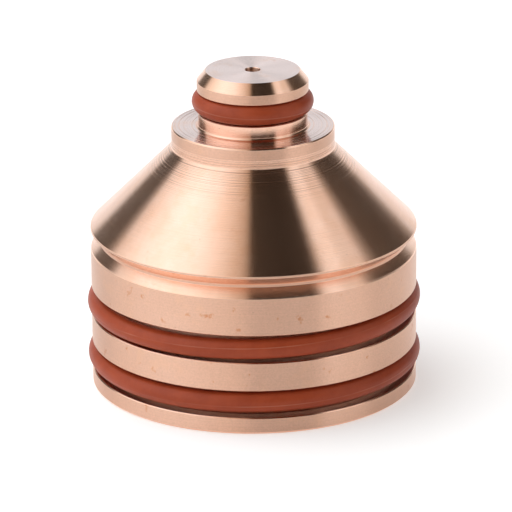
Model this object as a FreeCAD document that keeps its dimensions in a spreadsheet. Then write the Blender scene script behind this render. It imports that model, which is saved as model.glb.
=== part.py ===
# Plasma torch nozzle: a turned copper body with three O-rings.
#
# Frame: the nozzle stands on its open base, +Z up along the bore, with the
# origin on the axis in the plane of the base. Millimetres and degrees.

import FreeCAD, Part
import math
import os
import Sketcher

# ---------------------------------------------------------------- sizes
# Each size is written once here, goes to the sheet and drives the model.
# Outside, from the base up.
SIZES = {
    "base_diameter": 28.5,
    "bottom_land_height": 1.5,
    "middle_land_height": 2.6,
    "upper_land_height": 3.44,
    "relief_depth": 0.75,
    "relief_floor_width": 0.26,
    "relief_flank_angle": 45,
    "cone_rim_height": 0.2,
    "cone_half_angle": 45,
    "collar_diameter": 14.2,
    "collar_height": 1.85,
    "neck_diameter": 9.52,
    "neck_length": 1.27,
    "tip_diameter": 9.7,
    "tip_land_height": 0.93,
    "tip_chamfer_height": 0.9,
    "tip_chamfer_width": 0.75,
    # O-rings and their grooves
    "base_ring_section": 1.78,
    "base_ring_proud": 0.35,
    "base_groove_play": 0.62,
    "tip_ring_section": 1.78,
    "tip_ring_proud": 0.45,
    "tip_groove_play": 0.1,
    "ring_seat_gap": 0.02,
    # where each ring lies in its groove: its rise is the share of the play
    # below it, its lean the share of the play that it slants across
    "lower_ring_rise": 0.63,
    "lower_ring_lean": 0.3,
    "upper_ring_rise": 0.39,
    "upper_ring_lean": 0.65,
    "tip_ring_rise": 0.5,
    "tip_ring_lean": 0,
    # inside, from the base up
    "seat_bore_wall": 2.3,
    "seat_bore_depth": 9,
    "seat_shoulder_width": 1.2,
    "cone_wall": 4,
    "electrode_bore_wall": 1.76,
    "throat_half_angle": 45,
    "orifice_diameter": 1.3,
    "orifice_length": 3.3,
    # edge breaks and tool-nose radii
    "base_chamfer": 0.2,
    "seat_bore_lead_in": 0.4,
    "orifice_edge_break": 0.05,
    "land_edge_break": 0.08,
    "groove_corner_radius": 0.2,
    "cone_rim_radius": 0.12,
    "cone_root_radius": 0.3,
    "collar_edge_radius": 0.15,
    "neck_root_radius": 0.25,
    "tip_edge_radius": 0.06,
    "seat_corner_radius": 0.2,
    "bore_corner_radius": 0.4,
    "throat_radius": 0.6,
}

FULL_TURN = 360
# Two places on the profile are the same when they are this close.
SAME_PLACE = 1e-4


class Term:
    """A length or an angle: the formula over the sheet, and its value."""

    def __init__(self, formula, value):
        self.formula = formula
        self.value = value

    def __add__(self, other):
        return joined(self, "+", other, self.value + number(other))

    def __sub__(self, other):
        return joined(self, "-", other, self.value - number(other))

    def __mul__(self, other):
        return joined(self, "*", other, self.value * number(other))

    def __truediv__(self, other):
        return joined(self, "/", other, self.value / number(other))


def number(term):
    return term.value if isinstance(term, Term) else term


def joined(left, sign, right, value):
    right_formula = right.formula if isinstance(right, Term) else str(right)
    return Term("(%s %s %s)" % (left.formula, sign, right_formula), value)


def size(name):
    return Term("Sizes." + name, SIZES[name])


def tangent(angle):
    return Term("tan(%s * 1 deg)" % angle.formula, math.tan(math.radians(angle.value)))


def cosine(angle):
    return Term("cos(%s * 1 deg)" % angle.formula, math.cos(math.radians(angle.value)))


def arc_sine(ratio):
    return Term("asin(%s)" % ratio.formula, math.degrees(math.asin(ratio.value)))


# ---------------------------------------------------------------- document
doc = FreeCAD.newDocument("PlasmaTorchNozzle")
sheet = doc.addObject("Spreadsheet::Sheet", "Sizes")
for row, (alias, value) in enumerate(SIZES.items(), start=1):
    sheet.set("A%d" % row, alias)
    sheet.set("B%d" % row, str(value))
    sheet.setAlias("B%d" % row, alias)
doc.recompute()


def new_body(label):
    body = doc.addObject("PartDesign::Body", label)
    body.Label = label
    return body


def axial_sketch(body, name):
    """A sketch in the body's own XZ plane: radius across, height up."""
    sketch = body.newObject("Sketcher::SketchObject", name)
    planes = [f for f in body.Origin.OriginFeatures if f.Role == "XZ_Plane"]
    sketch.AttachmentSupport = (planes[0], "")
    sketch.MapMode = "FlatFace"
    return sketch


def bind(sketch, kind, geometry_and_term):
    """Adds one dimension and ties it to its formula."""
    *geometry, term = geometry_and_term
    index = sketch.addConstraint(Sketcher.Constraint(kind, *geometry, term.value))
    sketch.setExpression("Constraints[%d]" % index, term.formula)


def draw_outline(sketch, corners):
    """A closed outline through corners, each a (radius, height) of Terms."""
    points = [FreeCAD.Vector(r.value, z.value, 0) for r, z in corners]
    count = len(points)
    for i, start in enumerate(points):
        sketch.addGeometry(Part.LineSegment(start, points[(i + 1) % count]))
    for i in range(count):
        sketch.addConstraint(Sketcher.Constraint("Coincident", i, 2, (i + 1) % count, 1))
    for i, (radius, height) in enumerate(corners):
        for kind, term in (("DistanceX", radius), ("DistanceY", height)):
            if abs(term.value) < SAME_PLACE:
                axis = -2 if kind == "DistanceX" else -1
                sketch.addConstraint(Sketcher.Constraint("PointOnObject", i, 1, axis))
            else:
                bind(sketch, kind, (-1, 1, i, 1, term))


def turned(body, kind, name, sketch):
    """A Revolution or a Groove of the sketch, all the way round the axis."""
    feature = body.newObject("PartDesign::" + kind, name)
    feature.Profile = sketch
    feature.ReferenceAxis = (sketch, ["V_Axis"])
    feature.Angle = FULL_TURN
    sketch.Visibility = False
    doc.recompute()
    return feature


def turned_outline(body, kind, name, corners):
    sketch = axial_sketch(body, name + "Profile")
    draw_outline(sketch, corners)
    return turned(body, kind, name, sketch)


def edge_names(feature, places):
    """The names of the whole circles at these (radius, height) places."""
    names = []
    for radius, height in places:
        for i, edge in enumerate(feature.Shape.Edges, start=1):
            curve = edge.Curve
            if not isinstance(curve, Part.Circle):
                continue
            if abs(curve.Radius - radius.value) > SAME_PLACE:
                continue
            if abs(curve.Center.z - height.value) < SAME_PLACE:
                names.append("Edge%d" % i)
    if len(names) != len(places):
        raise RuntimeError("%s: %d edges for %d places" % (feature.Name, len(names), len(places)))
    return names


def rounded(body, base, name, radius, places):
    feature = body.newObject("PartDesign::Fillet", name)
    feature.Base = (base, edge_names(base, places))
    feature.setExpression("Radius", radius.formula)
    doc.recompute()
    return feature


def chamfered(body, base, name, width, places):
    feature = body.newObject("PartDesign::Chamfer", name)
    feature.Base = (base, edge_names(base, places))
    feature.setExpression("Size", width.formula)
    doc.recompute()
    return feature


# ---------------------------------------------------------------- levels
zero = Term("0", 0)

base_radius = size("base_diameter") / 2
collar_radius = size("collar_diameter") / 2
neck_radius = size("neck_diameter") / 2
tip_radius = size("tip_diameter") / 2
face_radius = tip_radius - size("tip_chamfer_width")
orifice_radius = size("orifice_diameter") / 2

# a groove is as wide as its ring and the play, and leaves the ring proud
base_groove_width = size("base_ring_section") + size("base_groove_play")
base_ring_radius = base_radius + size("base_ring_proud") - size("base_ring_section") / 2
base_floor_radius = base_ring_radius - size("base_ring_section") / 2 - size("ring_seat_gap")
tip_groove_width = size("tip_ring_section") + size("tip_groove_play")
tip_ring_radius = tip_radius + size("tip_ring_proud") - size("tip_ring_section") / 2
tip_floor_radius = tip_ring_radius - size("tip_ring_section") / 2 - size("ring_seat_gap")

lower_groove = size("bottom_land_height")
middle_land = lower_groove + base_groove_width
upper_groove = middle_land + size("middle_land_height")
upper_land = upper_groove + base_groove_width
relief = upper_land + size("upper_land_height")
relief_run = size("relief_depth") * tangent(size("relief_flank_angle"))
relief_floor = relief + relief_run
relief_roof = relief_floor + size("relief_floor_width")
relief_radius = base_radius - size("relief_depth")
cone_rim = relief_roof + relief_run
cone_foot = cone_rim + size("cone_rim_height")
cone_slope = tangent(size("cone_half_angle"))
collar = cone_foot + (base_radius - collar_radius) / cone_slope
collar_face = collar + size("collar_height")
tip_groove = collar_face + size("neck_length")
tip_land = tip_groove + tip_groove_width
tip_chamfer = tip_land + size("tip_land_height")
tip_face = tip_chamfer + size("tip_chamfer_height")

# inside
seat_bore_radius = base_floor_radius - size("seat_bore_wall")
seat_shoulder = size("seat_bore_depth")
chamber_radius = seat_bore_radius - size("seat_shoulder_width")
electrode_bore_radius = neck_radius - size("electrode_bore_wall")
# the inner cone runs parallel to the outer one, cone_wall away from it
inner_cone_drop = size("cone_wall") / cosine(size("cone_half_angle")) / cone_slope
inner_cone_foot = cone_foot + (base_radius - chamber_radius) / cone_slope - inner_cone_drop
inner_cone_top = inner_cone_foot + (chamber_radius - electrode_bore_radius) / cone_slope
throat_top = tip_face - size("orifice_length")
throat_height = (electrode_bore_radius - orifice_radius) / tangent(size("throat_half_angle"))
throat_foot = throat_top - throat_height


# ---------------------------------------------------------------- pieces
def build_nozzle_body():
    """The copper body: bar stock turned to shape, then grooved and bored."""
    body = new_body("nozzle_body")
    blank = turned_outline(body, "Revolution", "Blank", [
        (zero, zero),
        (base_radius, zero),
        (base_radius, cone_foot),
        (collar_radius, collar),
        (collar_radius, collar_face),
        (neck_radius, collar_face),
        (neck_radius, tip_groove),
        (tip_radius, tip_groove),
        (tip_radius, tip_chamfer),
        (face_radius, tip_face),
        (zero, tip_face),
    ])
    grooves = (
        ("LowerRingGroove", base_floor_radius, base_radius, lower_groove, base_groove_width),
        ("UpperRingGroove", base_floor_radius, base_radius, upper_groove, base_groove_width),
        ("TipRingGroove", tip_floor_radius, tip_radius, tip_groove, tip_groove_width),
    )
    feature = blank
    for name, floor, lip, foot, width in grooves:
        feature = turned_outline(body, "Groove", name, [
            (floor, foot),
            (lip, foot),
            (lip, foot + width),
            (floor, foot + width),
        ])
    feature = turned_outline(body, "Groove", "ConeRelief", [
        (base_radius, relief),
        (base_radius, cone_rim),
        (relief_radius, relief_roof),
        (relief_radius, relief_floor),
    ])
    feature = turned_outline(body, "Groove", "Bore", [
        (zero, zero),
        (seat_bore_radius, zero),
        (seat_bore_radius, seat_shoulder),
        (chamber_radius, seat_shoulder),
        (chamber_radius, inner_cone_foot),
        (electrode_bore_radius, inner_cone_top),
        (electrode_bore_radius, throat_foot),
        (orifice_radius, throat_top),
        (orifice_radius, tip_face),
        (zero, tip_face),
    ])
    feature = chamfered(body, feature, "BaseChamfer", size("base_chamfer"), [(base_radius, zero)])
    feature = chamfered(body, feature, "BoreLeadIn", size("seat_bore_lead_in"), [
        (seat_bore_radius, zero),
    ])
    feature = chamfered(body, feature, "OrificeEdge", size("orifice_edge_break"), [
        (orifice_radius, tip_face),
    ])
    feature = rounded(body, feature, "GrooveCorners", size("groove_corner_radius"), [
        (base_floor_radius, lower_groove),
        (base_floor_radius, middle_land),
        (base_floor_radius, upper_groove),
        (base_floor_radius, upper_land),
        (tip_floor_radius, tip_groove),
        (tip_floor_radius, tip_land),
    ])
    feature = chamfered(body, feature, "LandEdges", size("land_edge_break"), [
        (base_radius, lower_groove),
        (base_radius, middle_land),
        (base_radius, upper_groove),
        (base_radius, upper_land),
        (base_radius, relief),
        (neck_radius, tip_groove),
        (tip_radius, tip_land),
    ])
    feature = rounded(body, feature, "ConeRim", size("cone_rim_radius"), [
        (base_radius, cone_foot),
    ])
    feature = rounded(body, feature, "ConeRoot", size("cone_root_radius"), [
        (collar_radius, collar),
    ])
    feature = rounded(body, feature, "CollarEdge", size("collar_edge_radius"), [
        (collar_radius, collar_face),
    ])
    feature = rounded(body, feature, "NeckRoot", size("neck_root_radius"), [
        (neck_radius, collar_face),
    ])
    feature = rounded(body, feature, "TipEdges", size("tip_edge_radius"), [
        (tip_radius, tip_chamfer),
        (face_radius, tip_face),
    ])
    feature = rounded(body, feature, "SeatCorners", size("seat_corner_radius"), [
        (seat_bore_radius, seat_shoulder),
        (chamber_radius, seat_shoulder),
    ])
    feature = rounded(body, feature, "BoreCorners", size("bore_corner_radius"), [
        (chamber_radius, inner_cone_foot),
        (electrode_bore_radius, throat_foot),
    ])
    rounded(body, feature, "Throat", size("throat_radius"), [
        (electrode_bore_radius, inner_cone_top),
    ])
    return body


def build_o_ring(label, section, ring_radius, groove_foot, play, rise, lean):
    """A round-section ring that lies in its groove as rise and lean say."""
    body = new_body(label)
    sketch = axial_sketch(body, label + "Section")
    section_radius = section / 2
    centre = FreeCAD.Vector(ring_radius.value, 0, 0)
    sketch.addGeometry(Part.Circle(centre, FreeCAD.Vector(0, 0, 1), section_radius.value))
    sketch.addConstraint(Sketcher.Constraint("PointOnObject", 0, 3, -1))
    bind(sketch, "DistanceX", (-1, 1, 0, 3, ring_radius))
    bind(sketch, "Radius", (0, section_radius))
    turned(body, "Revolution", label + "Turn", sketch)

    height = groove_foot + section_radius + play * rise
    slant = arc_sine(play * lean / 2 / ring_radius)
    body.Placement = FreeCAD.Placement(
        FreeCAD.Vector(0, 0, height.value),
        FreeCAD.Rotation(FreeCAD.Vector(0, -1, 0), slant.value),
    )
    body.setExpression(".Placement.Base.z", height.formula)
    body.setExpression(".Placement.Rotation.Angle", slant.formula)
    return body


def build_o_rings():
    base_ring = (size("base_ring_section"), base_ring_radius)
    base_play = size("base_groove_play")
    return [
        build_o_ring("lower_base_o_ring", *base_ring, lower_groove, base_play,
                     size("lower_ring_rise"), size("lower_ring_lean")),
        build_o_ring("upper_base_o_ring", *base_ring, upper_groove, base_play,
                     size("upper_ring_rise"), size("upper_ring_lean")),
        build_o_ring("tip_o_ring", size("tip_ring_section"), tip_ring_radius, tip_groove,
                     size("tip_groove_play"), size("tip_ring_rise"), size("tip_ring_lean")),
    ]


pieces = [build_nozzle_body()] + build_o_rings()

# ---------------------------------------------------------------- checks
doc.recompute()
failed = [o.Name for o in doc.Objects if "Invalid" in o.State or "Error" in o.State]
if failed:
    raise RuntimeError("failed objects: " + ", ".join(failed))
for piece in pieces:
    if piece.Shape.isNull() or not piece.Shape.isValid():
        raise RuntimeError(piece.Label + " has no valid shape")
    if len(piece.Shape.Solids) != 1:
        raise RuntimeError(piece.Label + " is not one solid")

os.makedirs("parts", exist_ok=True)
for piece in pieces:
    piece.Shape.exportStep("parts/" + piece.Label + ".step")
    print(piece.Label, "volume %.2f mm3" % piece.Shape.Volume)
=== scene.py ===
"""A plasma torch nozzle: one turned copper body and three silicone O-rings on a white table."""

import math

import bpy
from mathutils import Matrix, Vector


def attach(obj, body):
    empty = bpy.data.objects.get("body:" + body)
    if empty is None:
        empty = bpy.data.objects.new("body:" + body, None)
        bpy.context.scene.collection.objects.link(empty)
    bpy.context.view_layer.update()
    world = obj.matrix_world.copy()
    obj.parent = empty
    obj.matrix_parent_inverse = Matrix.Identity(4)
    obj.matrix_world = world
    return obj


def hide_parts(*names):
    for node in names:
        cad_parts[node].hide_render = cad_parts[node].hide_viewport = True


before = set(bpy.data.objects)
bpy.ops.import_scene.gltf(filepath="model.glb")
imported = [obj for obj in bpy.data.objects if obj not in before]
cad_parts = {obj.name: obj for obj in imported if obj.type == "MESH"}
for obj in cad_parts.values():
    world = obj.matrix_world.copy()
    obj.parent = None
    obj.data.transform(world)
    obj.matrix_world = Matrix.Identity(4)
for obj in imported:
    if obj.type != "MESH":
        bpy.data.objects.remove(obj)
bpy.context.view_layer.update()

MM = 0.001


# ---------------------------------------------------------------- camera

# The lens, the sensor's width and the distance are in mm.
LENS = 326.4
SENSOR = 36.0
CAMERA_DISTANCE = 406.8
CAMERA_ELEVATION = math.radians(19.31)
CAMERA_ROLL = math.radians(-0.36)
# The point that the camera looks at, in mm.
AIM = Vector((0.196, 0.0, 11.195))


def add_camera():
    """A long lens at the photograph's angle, a little rolled."""
    back = Vector((0.0, -math.cos(CAMERA_ELEVATION), math.sin(CAMERA_ELEVATION)))
    right = Vector((1.0, 0.0, 0.0))
    up = back.cross(right)
    c, s = math.cos(CAMERA_ROLL), math.sin(CAMERA_ROLL)
    rolled_right = right * c + up * s
    rolled_up = up * c - right * s
    place = (AIM + back * CAMERA_DISTANCE) * MM
    data = bpy.data.cameras.new("camera")
    data.lens = LENS
    data.sensor_width = SENSOR
    data.clip_start = 0.01
    data.clip_end = 50.0
    camera = bpy.data.objects.new("camera", data)
    turn = Matrix((rolled_right, rolled_up, back)).transposed()
    camera.matrix_world = Matrix.Translation(place) @ turn.to_4x4()
    bpy.context.scene.collection.objects.link(camera)
    bpy.context.scene.camera = camera


# ---------------------------------------------------------------- node helpers


class Nodes:
    """Adds nodes to a tree and wires them: an argument is a socket, or a plain value."""

    def __init__(self, tree):
        self.tree = tree
        tree.nodes.clear()

    def put(self, socket, value):
        """Links a socket to an input, or sets the input to a plain value."""
        if value is None:
            return
        if isinstance(value, bpy.types.NodeSocket):
            self.tree.links.new(value, socket)
        else:
            socket.default_value = value

    def add(self, kind, settings=None, **inputs):
        """A new node, with its settings and its inputs, an underscore standing for a space."""
        node = self.tree.nodes.new(kind)
        for name, value in (settings or {}).items():
            setattr(node, name, value)
        for name, value in inputs.items():
            self.put(node.inputs[name.replace("_", " ")], value)
        return node

    def math(self, operation, a, b=None, c=None):
        node = self.add("ShaderNodeMath", {"operation": operation})
        for socket, value in zip(node.inputs, (a, b, c)):
            self.put(socket, value)
        return node.outputs[0]

    def span(self, value, low, high, out_low=0.0, out_high=1.0, smooth=True):
        """out_low where value is at low or before it, out_high at high or past it."""
        kind = "SMOOTHSTEP" if smooth else "LINEAR"
        node = self.add("ShaderNodeMapRange", {"interpolation_type": kind})
        for name, v in (("Value", value), ("From Min", low), ("From Max", high),
                        ("To Min", out_low), ("To Max", out_high)):
            self.put(node.inputs[name], v)
        return node.outputs[0]

    def mix(self, factor, a, b):
        """Colour a where factor is 0 and b where it is 1."""
        node = self.add("ShaderNodeMix", {"data_type": "RGBA"})
        colour_inputs = [s for s in node.inputs if s.type == "RGBA"]
        self.put(node.inputs[0], factor)
        self.put(colour_inputs[0], a)
        self.put(colour_inputs[1], b)
        return [s for s in node.outputs if s.type == "RGBA"][0]

    def ramp(self, value, stops):
        """The colour at value, from stops of (place, colour)."""
        node = self.add("ShaderNodeValToRGB")
        ramp = node.color_ramp
        while len(ramp.elements) < len(stops):
            ramp.elements.new(1.0)
        for element, stop in zip(ramp.elements, stops):
            element.position = stop[0]
        for element, stop in zip(ramp.elements, stops):
            element.color = stop[1]
        self.put(node.inputs[0], value)
        return node.outputs[0]

    def noise(self, coordinate, scale, detail=2.0, rough=0.5, lines=False):
        """Noise in space or, where lines is true, along the one coordinate."""
        kind = "1D" if lines else "3D"
        node = self.add("ShaderNodeTexNoise", {"noise_dimensions": kind},
                        Scale=scale, Detail=detail, Roughness=rough)
        self.put(node.inputs["W" if lines else "Vector"], coordinate)
        return node.outputs[0]

    def scaled(self, vector, factor):
        node = self.add("ShaderNodeVectorMath", {"operation": "SCALE"})
        self.put(node.inputs[0], vector)
        self.put(node.inputs["Scale"], factor)
        return node.outputs[0]

    def place_in_mm(self):
        """The shaded point in the part's own frame, in mm."""
        return self.scaled(self.add("ShaderNodeTexCoord").outputs["Object"], 1.0 / MM)

    def output(self, shader, kind="ShaderNodeOutputMaterial"):
        self.tree.links.new(shader.outputs[0], self.add(kind).inputs[0])


def grey(v):
    return (v, v, v, 1.0)


def new_material(name):
    """An empty material and the adder of its nodes."""
    material = bpy.data.materials.new(name)
    material.use_nodes = True
    return material, Nodes(material.node_tree)


# ---------------------------------------------------------------- studio

# What a turned surface shows at each angle round the part, from the left edge to the right:
# (degrees from the middle of the view, strength, warmth). Below zero, warmth is a cool tint.
STUDIO_BANDS = [
    (-180, 0.78, -0.10), (-90, 0.76, -0.16), (-84, 0.70, -0.16), (-80, 0.30, 0.00),
    (-77, 0.13, 0.05), (-64, 0.11, 0.10), (-60.5, 0.34, 0.06), (-57, 0.92, 0.00),
    (-49, 1.20, -0.04), (-40, 1.42, -0.12), (-33, 1.48, -0.14), (-22, 1.34, -0.08),
    (-14, 1.08, 0.06), (-8, 0.82, 0.18), (-4.5, 0.62, 0.28), (-2.4, 0.46, 0.32),
    (-1.2, 0.05, 0.35), (12, 0.035, 0.35), (22, 0.045, 0.35), (24, 0.50, 0.10),
    (26, 1.00, -0.04), (31, 1.08, -0.04), (35, 0.86, 0.04), (41, 0.84, 0.04),
    (45, 0.34, 0.12), (49, 0.10, 0.25), (62, 0.07, 0.25), (70, 0.10, 0.20),
    (75, 0.28, 0.05), (80, 0.64, -0.05), (88, 0.76, -0.16), (180, 0.78, -0.10),
]
# The strength that the colour white stands for.
FULL = 1.5
# The strength and warmth of the sweep that stands behind the part.
SWEEP = (0.84, -0.10)


def band_colour(strength, warmth):
    v = strength / FULL
    return (v, v * (1.0 - 0.5 * warmth), v * (1.0 - warmth), 1.0)


def band_stop(degrees, strength, warmth):
    return (degrees + 180.0) / 360.0, band_colour(strength, warmth)


def light_studio():
    """Soft boxes and dark flags stand round the table, and a pale sweep behind it.

    A surface with fine circular tool marks, seen from the front, mirrors light from a whole arc of
    directions, which all have the same angle here. So each band shows as a stripe up the part.
    """
    world = bpy.data.worlds.new("studio")
    bpy.context.scene.world = world
    world.use_nodes = True
    n = Nodes(world.node_tree)
    where = n.add("ShaderNodeTexCoord").outputs["Generated"]
    x, y, z = n.add("ShaderNodeSeparateXYZ", Vector=where).outputs
    reach = math.cos(CAMERA_ELEVATION)
    angle = n.math("ARCTAN2", x, n.math("SUBTRACT", reach, y))
    at = n.math("MULTIPLY_ADD", angle, 0.5 / math.pi, 0.5)
    bands = n.ramp(at, [band_stop(*stop) for stop in STUDIO_BANDS])
    horizon = n.span(z, 0.05, 0.14, 1.0, 0.0)
    behind = n.math("MULTIPLY", n.span(y, 0.80, 0.93), n.span(z, 0.45, 0.60, 1.0, 0.0))
    colour = n.mix(behind, bands, band_colour(*SWEEP))
    colour = n.mix(horizon, colour, band_colour(1.0, 0.0))
    light = n.add("ShaderNodeBackground", Color=colour, Strength=FULL)
    n.output(light, "ShaderNodeOutputWorld")


def add_lamp(name, place, aim, size, power):
    """A round soft lamp that gives the shadow. The copper mirrors the studio, not the lamp."""
    data = bpy.data.lights.new(name, "AREA")
    data.shape = "DISK"
    data.size = size
    data.energy = power
    lamp = bpy.data.objects.new(name, data)
    lamp.location = place
    turn = (Vector(aim) - Vector(place)).to_track_quat("-Z", "Y")
    lamp.rotation_euler = turn.to_euler()
    lamp.visible_glossy = False
    bpy.context.scene.collection.objects.link(lamp)


TABLE_HALF_WIDTH = 6.0
TABLE_DROP = 0.00002
TABLE_WHITE = 0.82
TABLE_GLOW = 0.42


def add_table():
    """A wide white table top, just under the part. Seen from below it isn't there."""
    half = TABLE_HALF_WIDTH
    drop = -TABLE_DROP
    mesh = bpy.data.meshes.new("table_top")
    corners = [(-half, -half, drop), (half, -half, drop), (half, half, drop), (-half, half, drop)]
    mesh.from_pydata(corners, [], [(0, 1, 2, 3)])
    table = bpy.data.objects.new("table_top", mesh)
    bpy.context.scene.collection.objects.link(table)
    material, n = new_material("white_table")
    path = n.add("ShaderNodeLightPath")
    seen = n.math("MAXIMUM", path.outputs["Is Camera Ray"], path.outputs["Is Glossy Ray"])
    seen = n.math("MAXIMUM", seen, path.outputs["Is Transmission Ray"])
    matt = n.add("ShaderNodeBsdfDiffuse", Color=grey(TABLE_WHITE))
    glow = n.add("ShaderNodeEmission", Color=grey(1.0),
                 Strength=n.math("MULTIPLY", seen, TABLE_GLOW))
    both = n.add("ShaderNodeAddShader")
    n.tree.links.new(matt.outputs[0], both.inputs[0])
    n.tree.links.new(glow.outputs[0], both.inputs[1])
    clear = n.add("ShaderNodeBsdfTransparent")
    under = n.add("ShaderNodeNewGeometry").outputs["Backfacing"]
    side = n.add("ShaderNodeMixShader", Fac=under)
    n.tree.links.new(both.outputs[0], side.inputs[1])
    n.tree.links.new(clear.outputs[0], side.inputs[2])
    n.output(side)
    mesh.materials.append(material)


# ---------------------------------------------------------------- materials


COPPER = (0.940, 0.615, 0.465, 1)
COPPER_DEEPER = (0.915, 0.570, 0.410, 1)
# Painted shade: upright sides are coloured darker, standing in for the dimmer reflection they
# show.
COPPER_UPRIGHT_PAINTED_SHADE = (0.760, 0.460, 0.330, 1)
# Painted reflection: flat upward faces are coloured paler, standing in for the whiter reflection
# seen at a grazing view.
COPPER_FACE_PAINTED_REFLECTION = (0.890, 0.700, 0.640, 1)
# Painted shade: the relief under the cone is coloured deeper and more orange, standing in for
# shade and copper-on-copper reflection in the recess.
COPPER_RELIEF_PAINTED_SHADE = (0.900, 0.520, 0.370, 1)
COPPER_ON_NECK = (0.930, 0.570, 0.420, 1)
COPPER_WARM = (0.880, 0.520, 0.330, 1)
STAIN = (0.62, 0.22, 0.08, 1)
SPECK = (0.16, 0.09, 0.06, 1)

NECK_MIDDLE = 23.95
FINE_LINES = 11.0
BROAD_LINES = 2.3
CHATTER_LINES = 6.5


class Places:
    """Where a point of the turned body lies: each value is 1 on that surface and 0 off it.

    Heights and radii are those of the part's section, in mm.
    """

    def __init__(self, n, mm):
        x, y, z = n.add("ShaderNodeSeparateXYZ", Vector=mm).outputs
        squares = n.math("ADD", n.math("MULTIPLY", x, x), n.math("MULTIPLY", y, y))
        radius = n.math("SQRT", squares)
        facing = n.add("ShaderNodeTexCoord").outputs["Normal"]
        lift = n.add("ShaderNodeSeparateXYZ", Vector=facing).outputs[2]
        tilt = n.math("ABSOLUTE", lift)
        from_neck = n.math("ABSOLUTE", n.math("SUBTRACT", z, NECK_MIDDLE))
        inward = n.add("ShaderNodeVectorMath", {"operation": "DOT_PRODUCT"})
        n.put(inward.inputs[0], facing)
        n.put(inward.inputs[1], n.add("ShaderNodeCombineXYZ", X=x, Y=y).outputs[0])

        self.along = n.math("SUBTRACT", z, radius)
        self.lands = n.span(radius, 14.05, 14.15)
        self.faces = n.span(lift, 0.96, 0.99)
        self.upright = n.math("MULTIPLY", n.span(tilt, 0.12, 0.04), n.span(from_neck, 0.5, 0.66))
        self.inside = n.math("LESS_THAN", inward.outputs["Value"], -0.05)
        self.relief = n.math("MULTIPLY", n.span(z, 13.20, 13.34), n.span(z, 14.12, 14.06))
        self.neck = n.math("MULTIPLY", n.span(radius, 5.1, 4.9), n.span(z, 24.60, 24.50))
        self.under_collar = n.math("MULTIPLY", n.span(z, 18.6, 21.2), n.span(z, 21.50, 21.40))


def copper_tone(n, mm, at):
    """The metal's colour on each surface, with painted light on some: painted shade on the upright
    sides, a painted pale reflection on flat faces, painted deeper shade in the relief, and a
    deeper tone on the neck.
    """
    blotch = n.noise(mm, 0.35, 4.0, 0.6)
    tone = n.mix(n.span(blotch, 0.35, 0.70), COPPER, COPPER_DEEPER)
    # Painted shade: the upright sides are darkened here.
    tone = n.mix(n.math("MULTIPLY", at.upright, 0.80), tone, COPPER_UPRIGHT_PAINTED_SHADE)
    # Painted reflection: flat faces are made paler here.
    tone = n.mix(at.faces, tone, COPPER_FACE_PAINTED_REFLECTION)
    # Painted shade in the relief recess.
    tone = n.mix(n.math("MULTIPLY", at.relief, 0.60), tone, COPPER_RELIEF_PAINTED_SHADE)
    return n.mix(n.math("MULTIPLY", at.neck, 0.70), tone, COPPER_ON_NECK)


def mark_shade(n, mm, at, fine, drift):
    """How much light the tool marks leave: fine lines, mottled lands and chatter on the cone."""
    plain = n.math("MULTIPLY", at.upright, 0.55)
    darkest = n.math("MULTIPLY_ADD", plain, 0.07, 0.91)
    marks = n.span(fine, 0.30, 0.72, darkest, 1.03, smooth=False)
    mottle = n.math("SUBTRACT", n.noise(mm, 6.5, 3.0, 0.7), 0.5)
    uneven = n.math("MULTIPLY_ADD", at.upright, 0.05, 0.02)
    uneven = n.math("MULTIPLY", mottle, n.math("MULTIPLY", uneven, 5.0))
    marks = n.math("MULTIPLY", marks, n.math("ADD", uneven, 1.0))
    run = n.math("ADD", at.along, n.math("MULTIPLY", drift, 2.0))
    chatter = n.noise(run, CHATTER_LINES, 2.0, 0.6, lines=True)
    chatter = n.span(chatter, 0.36, 0.50, 0.62, 1.0)
    chatter = n.math("MULTIPLY_ADD", at.under_collar, n.math("SUBTRACT", chatter, 1.0), 1.0)
    return n.math("MULTIPLY", marks, chatter)


def with_stains(n, mm, at, grain, tone):
    """Small orange stains, mostly on the lands, warm patches and a few dark specks."""
    stain = n.span(n.noise(mm, 0.9, 2.0, 0.5), 0.66, 0.74)
    stain = n.math("MULTIPLY", stain, n.span(grain, 0.40, 0.60))
    share = n.math("MAXIMUM", n.math("MULTIPLY", at.lands, 0.7), 0.15)
    tone = n.mix(n.math("MULTIPLY", stain, share), tone, STAIN)
    warm = n.math("MULTIPLY", n.span(n.noise(mm, 0.42, 3.0, 0.62), 0.54, 0.72), 0.30)
    tone = n.mix(warm, tone, COPPER_WARM)
    specks = n.add("ShaderNodeTexVoronoi", Vector=mm, Scale=1.1)
    spot = n.span(specks.outputs["Distance"], 0.05, 0.035)
    lot = n.add("ShaderNodeSeparateXYZ", Vector=specks.outputs["Color"]).outputs[0]
    keep = n.math("GREATER_THAN", lot, 0.72)
    spot = n.math("MULTIPLY", n.math("MULTIPLY", spot, keep), 0.65)
    return n.mix(spot, tone, SPECK)


def copper_roughness(n, at, fine, grain):
    rough = n.span(fine, 0.3, 0.7, 0.165, 0.21, smooth=False)
    rough = n.math("ADD", rough, n.math("MULTIPLY", at.upright, 0.16))
    rough = n.math("ADD", rough, n.span(grain, 0.3, 0.7, -0.01, 0.02))
    rough = n.math("ADD", rough, n.math("MULTIPLY", at.inside, 0.12))
    rough = n.math("SUBTRACT", rough, n.math("MULTIPLY", at.neck, 0.06))
    return n.math("SUBTRACT", rough, n.math("MULTIPLY", at.faces, 0.04))


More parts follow.
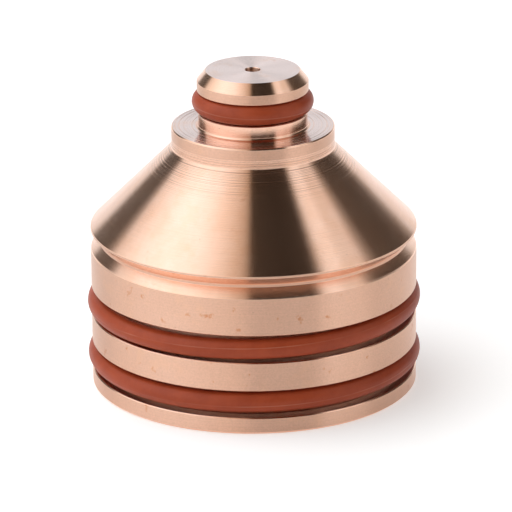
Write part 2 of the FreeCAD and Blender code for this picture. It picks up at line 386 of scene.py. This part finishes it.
def copper_material():
    """Turned copper: fine circular tool marks, rougher upright sides with painted shade, a painted
    pale reflection on flat faces, painted shade in the relief, small stains and specks.
    """
    material, n = new_material("turned_copper")
    mm = n.place_in_mm()
    at = Places(n, mm)
    drift = n.math("MULTIPLY", n.math("SUBTRACT", n.noise(mm, 0.15), 0.5), 0.03)
    run = n.math("ADD", at.along, drift)
    fine = n.noise(run, FINE_LINES, 3.0, 0.65, lines=True)
    broad = n.noise(run, BROAD_LINES, 2.0, 0.5, lines=True)
    grain = n.noise(mm, 3.5, 3.0, 0.6)

    tone = n.scaled(copper_tone(n, mm, at), mark_shade(n, mm, at, fine, drift))
    tone = with_stains(n, mm, at, grain, tone)
    height = n.math("ADD", fine, n.math("MULTIPLY", broad, 0.6))
    bump = n.add("ShaderNodeBump", Strength=0.35, Distance=0.0000040, Height=height)
    tangent = n.add("ShaderNodeTangent", {"direction_type": "RADIAL", "axis": "Z"})
    shader = n.add("ShaderNodeBsdfPrincipled", Base_Color=tone, Metallic=1.0,
                   Roughness=copper_roughness(n, at, fine, grain), Anisotropic=1.0,
                   Anisotropic_Rotation=0.25, Tangent=tangent.outputs[0],
                   Normal=bump.outputs[0])
    n.output(shader)
    return material


SILICONE = (0.430, 0.070, 0.022, 1)
SILICONE_DARKER = (0.360, 0.054, 0.016, 1)
DUST = (0.48, 0.17, 0.10, 1)
# Painted highlight: the mould line's ridge is real, but its paler colour stands in for the light
# the ridge catches.
MOULD_LINE_PAINTED_HIGHLIGHT = (0.62, 0.28, 0.19, 1)
# The mesh layer that is 1 on an O-ring's mould line.
LINE_LAYER = "mould_line"


def silicone_material():
    """Red-brown silicone with a soft gloss, fine dust and a painted highlight along the mould
    line.
    """
    material, n = new_material("red_silicone")
    mm = n.place_in_mm()
    cloud = n.noise(mm, 0.5, 4.0, 0.6)
    grain = n.noise(mm, 14.0, 3.0, 0.6)
    line = n.add("ShaderNodeAttribute", {"attribute_name": LINE_LAYER}).outputs["Fac"]
    tone = n.mix(n.span(cloud, 0.3, 0.7), SILICONE, SILICONE_DARKER)
    dust = n.math("MULTIPLY", n.span(grain, 0.60, 0.76), 0.22)
    tone = n.mix(dust, tone, DUST)
    strength = n.span(n.noise(mm, 0.22, 2.0, 0.5), 0.35, 0.65, 0.05, 0.42)
    # Painted highlight along the mould line, stronger in some places than others.
    tone = n.mix(n.math("MULTIPLY", line, strength), tone, MOULD_LINE_PAINTED_HIGHLIGHT)
    height = n.math("ADD", grain, n.math("MULTIPLY", cloud, 0.8))
    bump = n.add("ShaderNodeBump", Strength=0.4, Distance=0.000006, Height=height)
    shader = n.add("ShaderNodeBsdfPrincipled", Base_Color=tone, IOR=1.45,
                   Roughness=n.span(grain, 0.3, 0.7, 0.38, 0.52), Specular_IOR_Level=0.36,
                   Normal=bump.outputs[0])
    n.output(shader)
    return material


# ---------------------------------------------------------------- the turned body

TURNS = 360
# Points across one tool mark, less one.
MARK_STEPS = 4
# Pieces of the profile shorter than this, in mm, are left out.
SHORTEST = 1e-6


def corner(r, z, radius=0.0, steps=1, marks=()):
    """One corner of the section, rounded in that many steps.

    Marks are fine grooves on the run from here to the next corner: (distance, depth, width).
    """
    return {"p": Vector((r, z)), "radius": radius, "steps": steps, "marks": marks}


def tool_marks(first, last, pitch, depth, width, swing):
    """A row of fine tool marks, uneven as a hand-fed tool leaves them."""
    marks = []
    at = first
    count = 0
    while at < last:
        wobble = math.sin(count * 2.4) * swing
        marks.append((at, depth * (1.0 + 0.5 * math.sin(count * 1.7)), width))
        at += pitch * (1.0 + wobble)
        count += 1
    return marks


def outward(direction):
    """The normal of a run in that direction. The metal lies to its left."""
    return Vector((direction.y, -direction.x))


def joined(stops):
    """The pieces between (point, normal) stops, as (point, normal, point, normal)."""
    return [(*a, *b) for a, b in zip(stops, stops[1:])]


def straight_run(start, end, marks, from_corner):
    """The pieces from start to end, with the tool marks cut into them."""
    direction = (end - start).normalized()
    normal = outward(direction)
    shift = (start - from_corner).length
    stops = [(start, normal)]
    for at, depth, width in marks:
        for k in range(MARK_STEPS + 1):
            u = k / MARK_STEPS - 0.5
            dip = depth * (0.5 + 0.5 * math.cos(2.0 * math.pi * u))
            slope = -depth * math.pi / width * math.sin(2.0 * math.pi * u)
            point = start + direction * (at - shift + u * width) - normal * dip
            stops.append((point, (normal + direction * slope).normalized()))
    stops.append((end, normal))
    return joined(stops)


def corner_arc(before, here, after):
    """The rounding at a corner, as its two ends and the pieces between them."""
    into = (here["p"] - before["p"]).normalized()
    away = (after["p"] - here["p"]).normalized()
    turn = math.atan2(into.x * away.y - into.y * away.x, into.dot(away))
    cut = here["radius"] * math.tan(abs(turn) / 2.0)
    start = here["p"] - into * cut
    end = here["p"] + away * cut
    if here["radius"] == 0.0:
        return start, end, []
    side = -1.0 if turn > 0.0 else 1.0
    centre = start + outward(into) * side * here["radius"]
    n = outward(into)
    stops = []
    for k in range(here["steps"] + 1):
        a = turn * k / here["steps"]
        c, s = math.cos(a), math.sin(a)
        normal = Vector((n.x * c - n.y * s, n.x * s + n.y * c))
        stops.append((centre - normal * side * here["radius"], normal))
    return start, end, joined(stops)


def profile_pieces(corners):
    """The whole closed profile as short pieces with a normal at each end."""
    count = len(corners)
    arcs = [corner_arc(corners[i - 1], corners[i], corners[(i + 1) % count]) for i in range(count)]
    pieces = []
    for i in range(count):
        pieces += arcs[i][2]
        start, end = arcs[i][1], arcs[(i + 1) % count][0]
        pieces += straight_run(start, end, corners[i]["marks"], corners[i]["p"])
    return [p for p in pieces if (p[2] - p[0]).length > SHORTEST]


def turned_mesh(name, corners):
    """The profile turned round the axis, with its true normals."""
    pieces = profile_pieces(corners)
    rows = len(pieces)
    points = []
    for k in range(TURNS):
        a = 2.0 * math.pi * k / TURNS
        c, s = math.cos(a), math.sin(a)
        points += [(p[0].x * c * MM, p[0].x * s * MM, p[0].y * MM) for p in pieces]
    faces = []
    normals = []
    for k in range(TURNS):
        k2 = (k + 1) % TURNS
        a, a2 = 2.0 * math.pi * k / TURNS, 2.0 * math.pi * (k + 1) / TURNS
        c, s, c2, s2 = math.cos(a), math.sin(a), math.cos(a2), math.sin(a2)
        for i in range(rows):
            j = (i + 1) % rows
            faces.append((k * rows + i, k2 * rows + i, k2 * rows + j, k * rows + j))
            n1, n2 = pieces[i][1], pieces[i][3]
            normals += [(n1.x * c, n1.x * s, n1.y), (n1.x * c2, n1.x * s2, n1.y),
                        (n2.x * c2, n2.x * s2, n2.y), (n2.x * c, n2.x * s, n2.y)]
    mesh = bpy.data.meshes.new(name)
    mesh.from_pydata(points, [], faces)
    mesh.shade_smooth()
    mesh.normals_split_custom_set(normals)
    return mesh


# Radii and the radii of small roundings in the section, in mm.
LAND = 14.25
LAND_EDGE = 14.17
BASE_GROOVE = 12.80
RELIEF_FLOOR = 13.5
COLLAR = 7.10
NECK = 4.76
NECK_EDGE = 4.68
TIP_GROOVE = 3.50
TIP_LAND = 4.85
ORIFICE = 0.65
ELECTRODE_BORE = 3.0
CHAMBER = 9.3
SEAT_BORE = 10.5
EDGE = 0.03
GROOVE_CORNER = 0.2
BORE_CORNER = 0.4
THROAT = 0.6


def body_profile():
    """The nozzle's section in mm, from the bottom up the outside and down the bore."""
    cone_marks = (tool_marks(0.9, 6.2, 0.95, 0.003, 0.10, 0.4)
                  + tool_marks(7.4, 9.9, 0.30, 0.008, 0.10, 0.35))
    collar_marks = tool_marks(0.16, 0.80, 0.20, 0.010, 0.09, 0.2)
    face_marks = tool_marks(0.30, 1.80, 0.36, 0.011, 0.10, 0.35)
    return [
        corner(14.05, 0.0),
        corner(LAND, 0.2),
        corner(LAND, 1.42, EDGE, 2),
        corner(LAND_EDGE, 1.5, EDGE, 2),
        corner(BASE_GROOVE, 1.5, GROOVE_CORNER, 4),
        corner(BASE_GROOVE, 3.9, GROOVE_CORNER, 4),
        corner(LAND_EDGE, 3.9, EDGE, 2),
        corner(LAND, 3.98, EDGE, 2),
        corner(LAND, 6.42, EDGE, 2),
        corner(LAND_EDGE, 6.5, EDGE, 2),
        corner(BASE_GROOVE, 6.5, GROOVE_CORNER, 4),
        corner(BASE_GROOVE, 8.9, GROOVE_CORNER, 4),
        corner(LAND_EDGE, 8.9, EDGE, 2),
        corner(LAND, 8.98, EDGE, 2),
        corner(LAND, 12.26, EDGE, 2),
        corner(14.19, 12.40, EDGE, 2),
        corner(RELIEF_FLOOR, 13.09, 0.04, 2),
        corner(RELIEF_FLOOR, 13.35, 0.04, 2),
        corner(LAND, 14.10, EDGE, 2),
        corner(LAND, 14.30, 0.12, 4, cone_marks),
        corner(COLLAR, 21.45, 0.3, 4, collar_marks),
        corner(COLLAR, 23.30, 0.15, 5, face_marks),
        corner(NECK, 23.30, 0.25, 5),
        corner(NECK, 24.49, EDGE, 2),
        corner(NECK_EDGE, 24.57, EDGE, 2),
        corner(TIP_GROOVE, 24.57, GROOVE_CORNER, 4),
        corner(TIP_GROOVE, 26.45, GROOVE_CORNER, 4),
        corner(4.77, 26.45, EDGE, 2),
        corner(TIP_LAND, 26.53, EDGE, 2),
        corner(TIP_LAND, 27.38, 0.06, 3),
        corner(4.10, 28.28, 0.06, 3),
        corner(0.70, 28.28, 0.02, 2),
        corner(ORIFICE, 28.23, 0.02, 2),
        corner(ORIFICE, 24.98, THROAT, 5),
        corner(ELECTRODE_BORE, 22.63, BORE_CORNER, 4),
        corner(ELECTRODE_BORE, 19.893, THROAT, 5),
        corner(CHAMBER, 13.593, BORE_CORNER, 4),
        corner(CHAMBER, 9.0, GROOVE_CORNER, 3),
        corner(SEAT_BORE, 9.0, GROOVE_CORNER, 3),
        corner(SEAT_BORE, 0.4),
        corner(10.9, 0.0),
    ]


def add_piece(name, mesh, material, node):
    """A piece of the part, in the place of that CAD node."""
    mesh.materials.append(material)
    piece = bpy.data.objects.new(name, mesh)
    bpy.context.scene.collection.objects.link(piece)
    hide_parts(node)
    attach(piece, "root")


def add_body(material):
    mesh = turned_mesh("turned_body", body_profile())
    add_piece("turned_body", mesh, material, "nozzle_body")


# ---------------------------------------------------------------- the O-rings

RING_TURNS = 288
SECTION_TURNS = 60
# The section's radius and the mould line's height on it, in mm.
SECTION = 0.878
RIDGE = 0.012
RIDGE_HALF_ANGLE = math.radians(3.6)
# How closely the section's points gather at the mould line, from 0 to 1.
GATHERING = 0.88
# The share of the mould line's drift that goes round three times.
TREMBLE = 0.15


def ring_mesh(name, centre_radius, line_angle, line_drift, line_phase):
    """A moulded ring: a round section with a fine mould line that drifts up and down its side.

    The line's angle on the section is 0 on the outside, and it and its drift are in radians.
    """
    points = []
    lines = []
    for i in range(RING_TURNS):
        a = 2.0 * math.pi * i / RING_TURNS
        line = line_angle + line_drift * math.sin(a + line_phase)
        line += line_drift * TREMBLE * math.sin(3.0 * a + line_phase)
        for j in range(SECTION_TURNS):
            even = 2.0 * math.pi * j / SECTION_TURNS - math.pi
            off = even - GATHERING * math.sin(even)
            near = max(0.0, 1.0 - abs(off) / RIDGE_HALF_ANGLE)
            size = SECTION + RIDGE * near * near * (3.0 - 2.0 * near)
            b = line + off
            r = centre_radius + size * math.cos(b)
            points.append((r * math.cos(a) * MM, r * math.sin(a) * MM, size * math.sin(b) * MM))
            lines.append(near)
    faces = []
    for i in range(RING_TURNS):
        i2 = (i + 1) % RING_TURNS
        for j in range(SECTION_TURNS):
            j2 = (j + 1) % SECTION_TURNS
            faces.append((i * SECTION_TURNS + j, i2 * SECTION_TURNS + j,
                          i2 * SECTION_TURNS + j2, i * SECTION_TURNS + j2))
    mesh = bpy.data.meshes.new(name)
    mesh.from_pydata(points, [], faces)
    mesh.shade_smooth()
    layer = mesh.attributes.new(LINE_LAYER, "FLOAT", "POINT")
    layer.data.foreach_set("value", lines)
    return mesh


def add_ring(name, node, centre_radius, height, lean, line, material):
    """A ring at that height in mm, leaning by that many degrees, its right side up."""
    mesh = ring_mesh(name, centre_radius, *line)
    lift = Matrix.Translation((0.0, 0.0, height * MM))
    mesh.transform(lift @ Matrix.Rotation(-math.radians(lean), 4, "Y"))
    add_piece(name, mesh, material, node)


# ---------------------------------------------------------------- the scene

bpy.context.scene.view_settings.view_transform = "Standard"
add_camera()
light_studio()
add_table()
add_lamp("soft_box", (-0.20, 0.12, 0.64), (0.0, 0.0, 0.01), 0.50, 1.0)

add_body(copper_material())
silicone = silicone_material()
add_ring("lower_ring", "lower_base_o_ring", 13.71, 2.7806, 0.3887, (0.10, 0.35, 0.6), silicone)
add_ring("upper_ring", "upper_base_o_ring", 13.71, 7.6318, 0.8421, (0.25, 0.30, 2.0), silicone)
add_ring("tip_ring", "tip_o_ring", 4.41, 25.51, 0.0, (-0.25, 0.22, 4.0), silicone)
